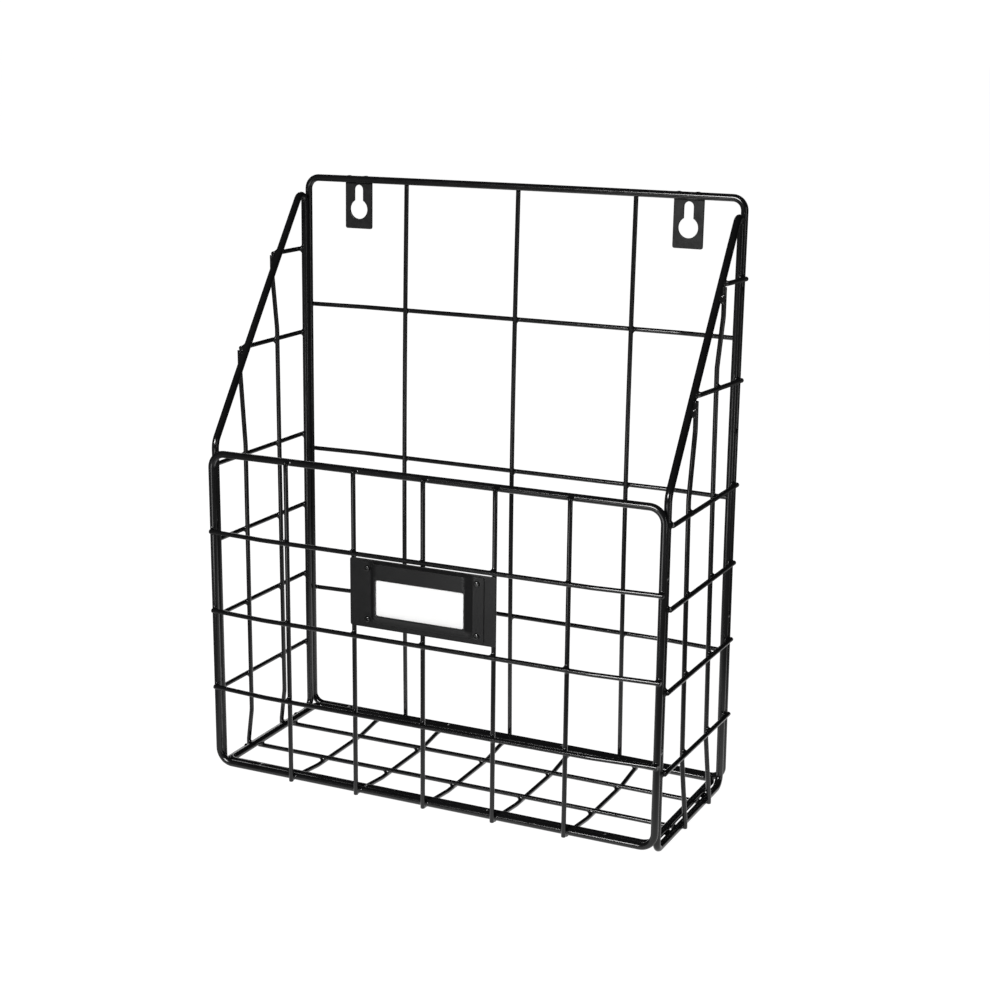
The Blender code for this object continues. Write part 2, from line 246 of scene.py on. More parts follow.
# ---------------------------------------------------------------- weld fillets: smooth union of the crossing wires
def surface_nets(f, origin, h):
    """Quads of the zero level of a sampled distance field."""
    nx, ny, nz = f.shape
    inside = f < 0
    corner = [(i, j, k) for i in (0, 1) for j in (0, 1) for k in (0, 1)]
    def at(a, c):
        return a[c[0]:nx - 1 + c[0], c[1]:ny - 1 + c[1], c[2]:nz - 1 + c[2]]
    total = sum(at(inside, c).astype(int) for c in corner)
    live = (total > 0) & (total < 8)
    acc = np.zeros((nx - 1, ny - 1, nz - 1, 3))
    cnt = np.zeros((nx - 1, ny - 1, nz - 1))
    for c in corner:
        for ax in range(3):
            if c[ax]:
                continue
            d = list(c)
            d[ax] = 1
            fa, fb = at(f, c), at(f, tuple(d))
            hit = (fa < 0) != (fb < 0)
            t = np.where(hit, fa / np.where(hit, fa - fb, 1), 0)
            pos = np.zeros(fa.shape + (3,))
            for m in range(3):
                pos[..., m] = c[m] + (t if m == ax else 0)
            acc += pos * hit[..., None]
            cnt += hit
    idx = -np.ones(live.shape, int)
    idx[live] = np.arange(live.sum())
    cell = np.argwhere(live)
    verts = (cell + acc[live] / cnt[live][:, None]) * h + origin
    quads = []
    for ax in range(3):
        o1, o2 = [(1, 2), (2, 0), (0, 1)][ax]
        sl_a = [slice(None)] * 3
        sl_b = [slice(None)] * 3
        sl_a[ax], sl_b[ax] = slice(0, -1), slice(1, None)
        a, b = inside[tuple(sl_a)], inside[tuple(sl_b)]
        for e in np.argwhere(a != b):
            if e[o1] == 0 or e[o2] == 0 or e[o1] >= idx.shape[o1] or e[o2] >= idx.shape[o2]:
                continue
            q = []
            for d1, d2 in ((1, 1), (0, 1), (0, 0), (1, 0)):
                c = e.copy()
                c[o1] -= d1
                c[o2] -= d2
                q.append(idx[tuple(c)])
            if min(q) < 0:
                continue
            quads.append(q if inside[tuple(e)] else q[::-1])
    return verts, quads


def capsule(p, a, b, r):
    pa, ba = p - a, b - a
    t = np.clip((pa @ ba) / (ba @ ba), 0, 1)
    return np.linalg.norm(pa - t[..., None] * ba, axis=-1) - r


def blob(p, c, axes):
    q = (p - c) / axes
    return (np.linalg.norm(q, axis=-1) - 1) * min(axes)


def weld_field(p, rods, beads, k):
    d = None
    for a, b, r in rods:
        e = capsule(p, a, b, r)
        if d is None:
            d = e
        else:
            hh = np.maximum(k - np.abs(d - e), 0) / k
            d = np.minimum(d, e) - hh * hh * k / 4
    for c, axes in beads:
        e = blob(p, c, axes)
        kb = k * 0.7
        hh = np.maximum(kb - np.abs(d - e), 0) / kb
        d = np.minimum(d, e) - hh * hh * kb / 4
    return d


def weld(rods, beads, reach, k=0.0015, h=0.00036):
    """One closed fillet patch. Its rods are a hair thinner than the wires, so it dips under their surface away from the joint."""
    pts = [q for a, b, r in rods for q in (a, b)]
    lo = np.min(pts, 0) - 0.0034
    hi = np.max(pts, 0) + 0.0034
    n = np.ceil((hi - lo) / h).astype(int) + 2
    g = np.stack(np.meshgrid(*[lo[m] + np.arange(n[m]) * h for m in range(3)], indexing="ij"), -1)
    f = weld_field(g, rods, beads, k)
    v, q = surface_nets(f, lo, h)
    for _ in range(2):
        e = 0.00002
        f0 = weld_field(v, rods, beads, k)
        grad = np.stack([(weld_field(v + np.eye(3)[m] * e, rods, beads, k) - f0) / e for m in range(3)], -1)
        v = v - grad * (f0 / np.maximum((grad ** 2).sum(-1), 0.2))[:, None]
    return v, q


WELDS = {"back": [], "left": [], "right": [], "front": [], "bottom": [], "corner": []}


def joint_weld(panel, pa, ta, ra, pb, tb, rb, bead=True, reach=0.0032, tips=(1, 1)):
    """Fillet where wire a crosses or lies on wire b; p is a point on each axis at the crossing, t its direction.
    tips: how far wire a runs on past the crossing, backwards and forwards along its direction."""
    pa, pb, ta, tb = (np.array(v, float) for v in (pa, pb, ta, tb))
    ta /= np.linalg.norm(ta)
    tb /= np.linalg.norm(tb)
    skin = 0.00005
    back, ahead = (min(reach, t - ra - 0.00025) for t in tips)
    rods = [(pa - ta * back, pa + ta * ahead, ra - skin), (pb - tb * reach, pb + tb * reach, rb - skin)]
    beads = []
    n = pb - pa
    n /= max(np.linalg.norm(n), 1e-9)
    if bead:
        mid = pa + n * ra
        size = min(ra, rb)
        axes = np.array([size * (1.12 + 0.16 * rng.random()) for _ in range(3)])
        axes = axes * (1 - np.abs(n)) + np.abs(n) * size * 0.62
        off = np.array([rng.uniform(-1, 1) for _ in range(3)]) * 0.00022
        off -= n * (off @ n)
        room = max(0.0009, min(tips) - 0.0002)
        along = np.abs(ta) > 0.7
        axes[along] = np.minimum(axes[along], room)
        if min(tips) < 0.002:
            off[along] = 0
        beads.append((mid + off, axes))
    WELDS[panel].append(weld(rods, beads, reach, k=0.0013 + 0.0005 * rng.random()))


def join_patches(parts):
    verts, faces, base = [], [], 0
    for v, q in parts:
        verts.append(v)
        faces += [[i + base for i in f] for f in q]
        base += len(v)
    return np.concatenate(verts), faces


# ---------------------------------------------------------------- materials
def tex_coord(nt, x=-1400, y=0):
    n = nt.nodes.new("ShaderNodeTexCoord")
    n.location = (x, y)
    return n.outputs["Object"]


def noise(nt, vec, scale, detail, rough=0.5, loc=(0, 0)):
    n = nt.nodes.new("ShaderNodeTexNoise")
    n.location = loc
    n.inputs["Scale"].default_value = scale
    n.inputs["Detail"].default_value = detail
    n.inputs["Roughness"].default_value = rough
    nt.links.new(vec, n.inputs["Vector"])
    return n.outputs["Fac"]


def ramp(nt, fac, stops, loc=(0, 0)):
    n = nt.nodes.new("ShaderNodeValToRGB")
    n.location = loc
    el = n.color_ramp.elements
    el[0].position, el[0].color = stops[0][0], (*stops[0][1], 1)
    el[1].position, el[1].color = stops[-1][0], (*stops[-1][1], 1)
    for pos, col in stops[1:-1]:
        e = el.new(pos)
        e.color = (*col, 1)
    nt.links.new(fac, n.inputs["Fac"])
    return n.outputs["Color"]


def map_range(nt, fac, lo, hi, a=0.25, b=0.75, loc=(0, 0)):
    n = nt.nodes.new("ShaderNodeMapRange")
    n.location = loc
    n.inputs["From Min"].default_value = a
    n.inputs["From Max"].default_value = b
    n.inputs["To Min"].default_value = lo
    n.inputs["To Max"].default_value = hi
    nt.links.new(fac, n.inputs["Value"])
    return n.outputs["Result"]


def bump(nt, height, strength, distance, under=None, loc=(0, 0)):
    n = nt.nodes.new("ShaderNodeBump")
    n.location = loc
    n.inputs["Strength"].default_value = strength
    n.inputs["Distance"].default_value = distance
    nt.links.new(height, n.inputs["Height"])
    if under is not None:
        nt.links.new(under, n.inputs["Normal"])
    return n.outputs["Normal"]


def powder_coat(name, dark, light, rough, spread, peel, gloss=0.5):
    """Baked powder coat: fine orange peel, slow gloss drift, and a slow drift between a darker and a paler tone."""
    m = bpy.data.materials.new(name)
    m.use_nodes = True
    nt = m.node_tree
    b = nt.nodes["Principled BSDF"]
    vec = tex_coord(nt)
    slow = noise(nt, vec, 38.0, 3.0, loc=(-1100, 300))
    fine = noise(nt, vec, 950.0, 2.0, loc=(-1100, 0))
    mid = noise(nt, vec, 260.0, 2.0, loc=(-1100, -300))
    nt.links.new(ramp(nt, slow, [(0.35, dark), (0.65, light)], loc=(-700, 300)), b.inputs["Base Color"])
    nt.links.new(map_range(nt, mid, rough - spread, rough + spread, loc=(-700, 0)), b.inputs["Roughness"])
    n1 = bump(nt, mid, peel * 0.7, 0.00012, loc=(-500, -300))
    n2 = bump(nt, fine, peel, 0.00005, under=n1, loc=(-300, -300))
    nt.links.new(n2, b.inputs["Normal"])
    b.inputs["IOR"].default_value = 1.5
    b.inputs["Specular IOR Level"].default_value = gloss
    return m


COAT = powder_coat("powder_coat_black", (0.004, 0.004, 0.0042), (0.0065, 0.0065, 0.0068), 0.16, 0.03, 0.05)
SHEET = powder_coat("powder_coat_sheet", (0.0042, 0.0042, 0.0044), (0.0066, 0.0066, 0.0069), 0.36, 0.05, 0.20, 0.36)
SCREW = powder_coat("screw_black_finish", (0.003, 0.003, 0.0032), (0.006, 0.006, 0.006), 0.20, 0.05, 0.10, 0.9)
SCREW.node_tree.nodes["Principled BSDF"].inputs["Metallic"].default_value = 0.0


def card_stock():
    m = bpy.data.materials.new("card_stock_white")
    m.use_nodes = True
    nt = m.node_tree
    b = nt.nodes["Principled BSDF"]
    vec = tex_coord(nt)
    fibre = noise(nt, vec, 1400.0, 4.0, 0.6, loc=(-1100, 0))
    cloud = noise(nt, vec, 60.0, 3.0, loc=(-1100, 300))
    nt.links.new(ramp(nt, cloud, [(0.3, (0.86, 0.86, 0.855)), (0.7, (0.90, 0.90, 0.895))], loc=(-700, 300)), b.inputs["Base Color"])
    nt.links.new(map_range(nt, fibre, 0.62, 0.80, loc=(-700, 0)), b.inputs["Roughness"])
    nt.links.new(bump(nt, fibre, 0.12, 0.00004, loc=(-400, -200)), b.inputs["Normal"])
    return m


CARD = card_stock()

# ---------------------------------------------------------------- wires
SIDES_THICK, SIDES_THIN = 32, 24


def wire(name, pts, radius, ref, closed=False, bow=None):
    pts = resample(pts, closed)
    if bow:
        pts = [Vector((p.x, p.y + bow(p), p.z)) for p in pts]
    v, f = tube(pts, radius, ref, closed, SIDES_THICK if radius > 0.002 else SIDES_THIN)
    return make_piece(name + "_wire", v, f, COAT, "rack", (name,), angle=50)


def back_bow(p):
    """The back grid bellies forward a little between its rails."""
    u = max(-1.0, min(1.0, p.x / HALF_W))
    v = max(0.0, min(1.0, (p.z - BASE_Z) / (BACK_TOP - BASE_Z)))
    return -0.0022 * (1 - u * u) * sin(pi * v)


def bowed(p, bow):
    return (p[0], p[1] + bow(Vector(p)), p[2]) if bow else p


# back panel
wire("back_frame", fillet([(-HALF_W, BACK_Y, BASE_Z), (HALF_W, BACK_Y, BASE_Z), (HALF_W, BACK_Y, BACK_TOP), (-HALF_W, BACK_Y, BACK_TOP)],
                          [BACK_R] * 4, 12, True), TR, (0, 1, 0), closed=True)
for i, x in enumerate(BACK_V):
    wire("back_upright_%d" % (i + 1), [(x, BACK_Y + LAYER1, BASE_Z - 0.0012), (x, BACK_Y + LAYER1, BACK_TOP + 0.0008)], NR, (0, 1, 0), bow=back_bow)


def cross_path(sign, y_frame, z):
    far, near = y_frame + sign * LAYER2, y_frame + sign * LAYER1
    start, end = (HALF_W + 0.0008, HALF_W + 0.0008) if sign > 0 else (HALF_W + 0.0006, HALF_W + 0.0020)
    pts = [(-start, near, z), (-HALF_W + 0.004, near, z), (-HALF_W + 0.042, far, z),
           (HALF_W - 0.042, far, z), (HALF_W - 0.004, near, z), (end, near, z)]
    return fillet(pts, [0, 0.05, 0.05, 0.05, 0.05, 0], 5, False)


X, Y, Z = (1, 0, 0), (0, 1, 0), (0, 0, 1)
for i, z in enumerate(BACK_H):
    zz = BASE_Z + z
    wire("back_cross_%d" % (i + 1), cross_path(1, BACK_Y, zz), NR, (0, 1, 0), bow=back_bow)
    for x in BACK_V:
        a = bowed((x, BACK_Y + LAYER2, zz), back_bow)
        b = bowed((x, BACK_Y + LAYER1, zz), back_bow)
        joint_weld("back", a, X, NR, b, Z, NR)
    for sx in (-1, 1):
        joint_weld("back", (sx * HALF_W, BACK_Y + LAYER1, zz), (sx, 0, 0), NR, (sx * HALF_W, BACK_Y, zz), Z, TR, tips=(1, 0.0008))
for x in BACK_V:
    for zz, out, tip in ((BASE_Z, -1, 0.0012), (BACK_TOP, 1, 0.0008)):
        joint_weld("back", (x, BACK_Y + LAYER1, zz), (0, 0, out), NR, (x, BACK_Y, zz), X, TR, reach=0.0030, tips=(1, tip))

# side panels: no two welded quite alike, so each upright leans by its own hair and one cross wire runs out of level
BEND_Z = slant_z(STEP)
SLANT_DIR = (0, SLANT_RUN, 1)
LEAN = {("left", 0): (0.0018, 0.0016), ("left", 1): (0.0012, -0.0010), ("right", 0): (0.0042, -0.0035), ("right", 1): (0.0042, -0.0035)}
TILT = {("left", 2): (0.0008, 0.0), ("left", 3): (0.0010, 0.0), ("left", 4): (0.0012, 0.0003), ("left", 5): (0.0014, 0.0003),
        ("right", 0): (0.0008, -0.0006), ("right", 1): (-0.0020, -0.0064), ("right", 2): (0.0, -0.0011),
        ("right", 3): (0.0, -0.0012), ("right", 4): (0.0, -0.0012), ("right", 5): (0.0, -0.0010)}
POST = {"left": SIDE_BACK_Y - 0.0012, "right": SIDE_BACK_Y - 0.0010}
OVER = {"left": 0.0030, "right": 0.0066}
for side, sx in (("left", -1), ("right", 1)):
    x = sx * HALF_W
    SIDE_POST = POST[side]
    APEX_Z = slant_z(SIDE_POST)
    loop = [(x, STEP, SIDE_BASE), (x, SIDE_POST, SIDE_BASE), (x, SIDE_POST, APEX_Z), (x, STEP, BEND_Z)]
    wire(side + "_frame", fillet(loop, [SIDE_R_TIGHT, SIDE_R_BACK, SIDE_R_TIGHT, SIDE_R_BEND], 12, True), TR, X, closed=True)
    xo = sx * (HALF_W + LAYER1)
    xi = sx * (HALF_W + LAYER1 - THIN_D - SINK)
    tail = SIDE_BACK_Y + 0.0026
    crosses = []
    for i, z in enumerate(SIDE_H):
        t0, t1 = TILT.get((side, i), (0, 0))
        z0, z1 = BASE_Z + z + t0, BASE_Z + z + t1
        front_post = z0 < BEND_Z
        y0 = STEP - 0.0012 if front_post else slant_y(z0) - 0.0018
        slope = (z1 - z0) / (tail - y0)
        crosses.append((y0, z0, slope))
        along = (0, 1, slope)
        wire("%s_cross_%d" % (side, i + 1), [(xo, y0, z0), (xo, tail, z1)], NR, (1, 0, 0))
        zp = z0 + slope * (SIDE_POST - y0)
        joint_weld(side, (xo, SIDE_POST, zp), along, NR, (x, SIDE_POST, zp), Z, TR, tips=(1, tail - SIDE_POST))
        if front_post:
            joint_weld(side, (xo, STEP + 0.0004, z0), along, NR, (x, STEP, z0), Z, TR, reach=0.0026, tips=(0.0016, 1))
        else:
            joint_weld(side, (xo, slant_y(z0) + 0.0004, z0), along, NR, (x, slant_y(z0), z0), SLANT_DIR, TR, reach=0.0026, tips=(0.0022, 1))
    for i, y in enumerate(SIDE_V):
        low, high = LEAN[side, i]
        yb, yt = y + low, y + high
        top = slant_z(yt)
        z6 = BASE_Z + SIDE_H[5]
        zt = BASE_Z + (SIDE_H[2] if i == 0 else SIDE_H[1])
        bottom = SIDE_BASE - 0.0006
        knee = SIDE_BASE + 0.026 if side == "left" else z6 - 0.006

        def at(zz):
            return yb + (yt - yb) * (zz - bottom) / (top - bottom)
        pts = [(xo, at(bottom), bottom), (xo, at(SIDE_BASE + 0.003), SIDE_BASE + 0.003), (xi, at(knee), knee),
               (xi, at(zt + 0.008), zt + 0.008), (xo, at(top - 0.012), top - 0.012), (xo, yt, top + OVER[side])]
        lean = (0, (yt - yb) / (top - bottom), 1)
        wire("%s_upright_%d" % (side, i + 1), fillet(pts, [0, 0.03, 0.03, 0.03, 0.03, 0], 5, False), NR, (0, 1, 0))
        joint_weld(side, (xo, yb, SIDE_BASE + 0.0006), lean, NR, (x, yb, SIDE_BASE), Y, TR, tips=(0.0012, 1))
        joint_weld(side, (xo, yt, top - 0.0014), lean, NR, (x, yt, top), SLANT_DIR, TR, reach=0.0024, tips=(1, 0.0014 + OVER[side]))
        for y0, z0, slope in crosses:
            zz = z0 + slope * (at(z0) - y0)
            if zz < top - 0.02:
                joint_weld(side, (xo, at(zz), zz), (0, 1, slope), NR, (xi, at(zz), zz), lean, NR)

# front panel
wire("front_frame", fillet([(-HALF_W, 0, BASE_Z), (HALF_W, 0, BASE_Z), (HALF_W, 0, FRONT_TOP), (-HALF_W, 0, FRONT_TOP)],
                           [FRONT_R] * 4, 12, True), TR, (0, 1, 0), closed=True)
for i, x in enumerate(FRONT_V):
    wire("front_upright_%d" % (i + 1), [(x, -LAYER1, BASE_Z - TR - 0.0002), (x, -LAYER1, FRONT_TOP + 0.0004)], NR, (0, 1, 0))
    joint_weld("front", (x, -LAYER1, BASE_Z), Z, NR, (x, 0, BASE_Z), X, TR, tips=(0.0026, 1))
    joint_weld("front", (x, -LAYER1, FRONT_TOP - 0.0004), Z, NR, (x, 0, FRONT_TOP), X, TR, reach=0.0026, tips=(1, 0.0008))
for i, z in enumerate(FRONT_H):
    zz = BASE_Z + z
    wire("front_cross_%d" % (i + 1), cross_path(-1, 0.0, zz), NR, (0, 1, 0))
    for x in FRONT_V:
        joint_weld("front", (x, -LAYER2, zz), X, NR, (x, -LAYER1, zz), Z, NR)
    for sx in (-1, 1):
        joint_weld("front", (sx * HALF_W, -LAYER1, zz), (sx, 0, 0), NR, (sx * HALF_W, 0, zz), Z, TR, tips=(1, 0.0006 if sx < 0 else 0.0020))

# bottom panel
bx = HALF_W - STEP
wire("bottom_frame", fillet([(-bx, STEP, BASE_Z), (bx, STEP, BASE_Z), (bx, SIDE_BACK_Y, BASE_Z), (-bx, SIDE_BACK_Y, BASE_Z)],
                            [BOTTOM_R] * 4, 12, True), TR, (0, 0, 1), closed=True)
for i, y in enumerate(BOTTOM_LR):
    z = BASE_Z - LAYER1
    wire("bottom_cross_%d" % (i + 1), [(-bx - 0.0020, y, z), (bx + 0.0020, y, z)], NR, (0, 0, 1))
    for sx in (-1, 1):
        joint_weld("bottom", (sx * bx, y, z), (sx, 0, 0), NR, (sx * bx, y, BASE_Z), Y, TR, reach=0.0022, tips=(1, 0.0020))
for i, x in enumerate([v - 0.0022 for v in BOTTOM_FB]):
    zn, zf = BASE_Z - LAYER1, BASE_Z - LAYER2
    pts = [(x, STEP - 0.0022, zn), (x, STEP + 0.003, zn), (x, BOTTOM_LR[0] - 0.008, zf),
           (x, BOTTOM_LR[1] + 0.008, zf), (x, SIDE_BACK_Y - 0.003, zn), (x, SIDE_BACK_Y + 0.0022, zn)]
    wire("bottom_runner_%d" % (i + 1), fillet(pts, [0, 0.03, 0.03, 0.03, 0.03, 0], 5, False), NR, (0, 0, 1))
    for y in BOTTOM_LR:
        joint_weld("bottom", (x, y, zf), Y, NR, (x, y, BASE_Z - LAYER1), X, NR)
    for y, out in ((STEP, -1), (SIDE_BACK_Y, 1)):
        joint_weld("bottom", (x, y, zn), (0, out, 0), NR, (x, y, BASE_Z), X, TR, reach=0.0022, tips=(1, 0.0022))


def seam_weld(p0, p1, along, bead):
    """Spot weld between two frame wires lying side by side."""
    p0, p1, along = (np.array(v, float) for v in (p0, p1, along))
    along /= np.linalg.norm(along)
    rods = [(p0 - along * 0.0035, p0 + along * 0.0035, TR - 0.00005), (p1 - along * 0.0035, p1 + along * 0.0035, TR - 0.00005)]
    WELDS["corner"].append(weld(rods, [bead], 0.0035, k=0.0016))


for sx in (-1, 1):
    x = sx * HALF_W
    for z, y0, y1 in ((FRONT_H[0] + 0.0105, 0.0, STEP), (FRONT_H[2] + 0.0085, 0.0, STEP),
                      (0.3345, POST["left" if sx < 0 else "right"], BACK_Y), (0.1180, POST["left" if sx < 0 else "right"], BACK_Y), (0.2420, POST["left" if sx < 0 else "right"], BACK_Y)):
        zz = BASE_Z + z
        c = np.array([x + sx * TR * 0.62, (y0 + y1) / 2, zz])
        seam_weld((x, y0, zz), (x, y1, zz), Z, (c, np.array([0.0014, 0.0015, 0.0019])))
    # bottom frame corners to the side frames
    for y in (0.030, 0.098):
        z0, z1 = BASE_Z, SIDE_BASE
        c = np.array([sx * (HALF_W - STEP / 2), y, BASE_Z + TR * 0.5])
        seam_weld((sx * bx, y, z0), (x, y, z1), Y, (c, np.array([0.0014, 0.0019, 0.0012])))
for x in (-0.128, -0.045, 0.045, 0.128):
    for ya, yb in ((0.0, STEP), (SIDE_BACK_Y, BACK_Y)):
        c = np.array([x, (ya + yb) / 2, BASE_Z + TR * 0.55])
        seam_weld((x, ya, BASE_Z), (x, yb, BASE_Z), X, (c, np.array([0.0019, 0.0013, 0.0012])))

# ---------------------------------------------------------------- hanging tabs
TAB_BACK = BACK_Y + TR + TOUCH + TAB_T


def torus_loops(loops):
    """Quads through a ring of equal closed loops, the last joined to the first."""
    n = len(loops[0])
    verts = np.concatenate([np.asarray(l, float) for l in loops])
    faces = []
    for i in range(len(loops)):
        j = (i + 1) % len(loops)
        for k in range(n):
            m = (k + 1) % n
            faces.append((i * n + k, i * n + m, j * n + m, j * n + k))
    return verts, faces


def ray_rect(a, x0, x1, z0, z1, r):
    """Distance from the origin to a rounded rectangle along angle a."""
    lo, hi = 0.0, 0.2
    dx, dz = cos(a), sin(a)
    cx, cz, hx, hz = (x0 + x1) / 2, (z0 + z1) / 2, (x1 - x0) / 2 - r, (z1 - z0) / 2 - r
    for _ in range(50):
        m = (lo + hi) / 2
        qx, qz = abs(dx * m - cx) - hx, abs(dz * m - cz) - hz
        d = hypot(max(qx, 0), max(qz, 0)) + min(max(qx, qz), 0) - r
        if d < 0:
            lo = m
        else:
            hi = m
    return lo


def ray_keyhole(a, head, slot, up):
    lo, hi = 0.0, 0.2
    dx, dz = cos(a), sin(a)
    for _ in range(50):
        m = (lo + hi) / 2
        x, z = dx * m, dz * m
        d = min(hypot(x, z) - head, hypot(x, z - max(0.0, min(up, z))) - slot)
        if d < 0:
            lo = m
        else:
            hi = m
    return lo


def tab_mesh(cx):
    head, slot, up = KEY_HEAD_D / 2, KEY_SLOT_D / 2, KEY_SLOT_Z - KEY_HEAD_Z
    z0, z1 = TAB_BOTTOM - KEY_HEAD_Z, TAB_TOP - KEY_HEAD_Z
    n = 220
    ang = [i * 2 * pi / n for i in range(n)]
    corners = [atan2(zz, xx) % (2 * pi) for xx in (-TAB_W / 2, TAB_W / 2) for zz in (z0, z1)]
    neck = [atan2(sqrt(head * head - slot * slot), s * slot) % (2 * pi) for s in (-1, 1)]
    for c in corners + neck:
        k = min(range(n), key=lambda i: abs(ang[i] - c))
        ang[k] = c
    ang.sort()
    e = 0.00022

    def outer(inset, y):
        return [(cx + cos(a) * d, y, KEY_HEAD_Z + sin(a) * d) for a in ang
                for d in (ray_rect(a, -TAB_W / 2 + inset, TAB_W / 2 - inset, z0 + inset, z1 - inset, 0.0014),)]

    def inner(outset, y):
        return [(cx + cos(a) * d, y, KEY_HEAD_Z + sin(a) * d) for a in ang
                for d in (ray_keyhole(a, head + outset, slot + outset, up),)]
    yf, yb = TAB_BACK - TAB_T, TAB_BACK
    q = e * 0.3
    loops = [inner(0, yf + e), inner(q, yf + q), inner(e, yf), outer(e, yf), outer(q, yf + q), outer(0, yf + e),
             outer(0, yb - e), outer(q, yb - q), outer(e, yb), inner(e, yb), inner(q, yb - q), inner(0, yb - e)]
    return torus_loops(loops)


for side, sx in (("left", -1), ("right", 1)):
    v, f = tab_mesh(sx * TAB_X)
    make_piece("hanging_tab_%s_plate" % side, v, f, SHEET, "rack", ("hanging_tab_" + side,), angle=32, flat=True)
    # resistance welds of the tab to the rail, pressed from both edges
    for dx in (-0.0065, 0.0065):
        cx = sx * TAB_X + dx
        rods = [(np.array([cx - 0.003, BACK_Y, BACK_TOP]), np.array([cx + 0.003, BACK_Y, BACK_TOP]), TR - 0.00005)]
        beads = [(np.array([cx, BACK_Y + TR * 0.72, BACK_TOP - TR * 0.78]), np.array([0.0021, 0.0014, 0.0012])),
                 (np.array([cx, BACK_Y + TR * 0.72, BACK_TOP + TR * 0.70]), np.array([0.0018, 0.0012, 0.0009]))]
        WELDS["back"].append(weld(rods, beads, 0.003))

for panel in ("back", "left", "right", "front", "bottom", "corner"):
    v, q = join_patches(WELDS[panel])
    make_piece("%s_welds" % panel, v, q, COAT, "rack", (), angle=0)

# ---------------------------------------------------------------- label holder


def rrect(x0, x1, z0, z1, r, ns, nc):
    """Rounded rectangle, anticlockwise from the lower left; ns points a side, nc a corner."""
    out = []
    for (ax, az), (cx, cz), a0 in (((x0 + r, z0), (x1 - r, z0 + r), -pi / 2), ((x1, z0 + r), (x1 - r, z1 - r), 0),
                                   ((x1 - r, z1), (x0 + r, z1 - r), pi / 2), ((x0, z1 - r), (x0 + r, z0 + r), pi)):
        ex, ez = cx + r * cos(a0), cz + r * sin(a0)
        for k in range(ns):
            t = k / ns
            out.append((ax + (ex - ax) * t, az + (ez - az) * t))
        for k in range(nc):
            a = a0 + k / nc * pi / 2
            out.append((cx + r * cos(a), cz + r * sin(a)))
    return np.array(out)


def plate_mesh():
    """Backing plate with softened edges."""
    e = 0.00018
    def loop(inset, y):
        o = rrect(-PLATE_W / 2 + inset, PLATE_W / 2 - inset, -PLATE_H / 2 + inset, PLATE_H / 2 - inset, 0.0016 - inset * 0.5, 12, 8)
        return [(x, y, PLATE_Z + z) for x, z in o]
    loops = [loop(e, PLATE_FRONT), loop(e * 0.3, PLATE_FRONT + e * 0.3), loop(0, PLATE_FRONT + e),
             loop(0, PLATE_BACK - e), loop(e * 0.3, PLATE_BACK - e * 0.3), loop(e, PLATE_BACK)]
    n = len(loops[0])
    verts = np.concatenate([np.array(l) for l in loops])
    faces = []
    for i in range(len(loops) - 1):
        for k in range(n):
            m = (k + 1) % n
            faces.append((i * n + k, i * n + m, (i + 1) * n + m, (i + 1) * n + k))
    faces.append(tuple(range(n)))
    faces.append(tuple(range((len(loops) - 1) * n, len(loops) * n))[::-1])
    return verts, faces


v, f = plate_mesh()
make_piece("label_plate_sheet", v, f, SHEET, "rack", ("label_plate",), angle=32, flat=True)


def soft_clamp(q, s):
    """0 below 0, 1 above 1, linear between, with both knees rounded over s."""
    def soft_relu(t):
        return np.where(t < -s, 0, np.where(t > s, t, (t + s) ** 2 / (4 * s)))
    return soft_relu(q) - soft_relu(q - 1)


def boss(x, z):
    a = np.maximum(0, 1 - (BOSS_X0 - np.abs(x)) / (BOSS_X0 - BOSS_X1))
    b = np.maximum(0, 1 - (z - BOSS_Z0) / (BOSS_Z1 - BOSS_Z0))
    q = np.sqrt(a * a + b * b)
    return BOSS_H * (1 - soft_clamp(q, 0.14))


def bezel_mesh():
    ns, nc = 40, 10
    inner = rrect(-WIN_X, WIN_X, WIN_Z0, WIN_Z1, 0.0014, ns, nc)
    outer = rrect(-BEZEL_W / 2, BEZEL_W / 2, -BEZEL_H / 2, BEZEL_H / 2, 0.0014, ns, nc)
    outer[:, 1] = np.minimum(outer[:, 1], BEZEL_H / 2 - 0.0)
    ts = np.linspace(0, 1, 46)

    def surface(t):
        p = inner * (1 - t) + outer * t
        x, z = p[:, 0], p[:, 1]
        e = 0.00005
        h = boss(x, z)
        hx = (boss(x + e, z) - boss(x - e, z)) / (2 * e)
        hz = (boss(x, z + e) - boss(x, z - e)) / (2 * e)
        nrm = np.stack([hx, np.ones_like(hx), hz], -1)
        nrm /= np.linalg.norm(nrm, axis=1)[:, None]
        front = np.stack([x, FLANGE_FRONT - h, PLATE_Z + z], -1)
        return front, nrm
    loops = []
    for t in ts:
        s, nrm = surface(t)
        loops.append(s)
    s, nrm = surface(1.0)
    mids = [s + nrm * BEZEL_T * 0.18, s + nrm * BEZEL_T * 0.82]
    loops[-1] = s + (surface(0.996)[0] - s)
    loops += mids
    for t in ts[::-1]:
        s, nrm = surface(min(t, 0.996))
        loops.append(s + nrm * BEZEL_T)
    s, nrm = surface(0.0)
    loops += [s + nrm * BEZEL_T * 0.82, s + nrm * BEZEL_T * 0.18]
    # soften the window rim
    loops[0] = surface(0.012)[0]
    k = len(ts) + 2 + len(ts) - 1
    s2, n2 = surface(0.012)
    loops[k] = s2 + n2 * BEZEL_T
    return torus_loops(loops)


v, f = bezel_mesh()
make_piece("label_bezel_pressing", v, f, SHEET, "rack", ("label_bezel",), angle=50)


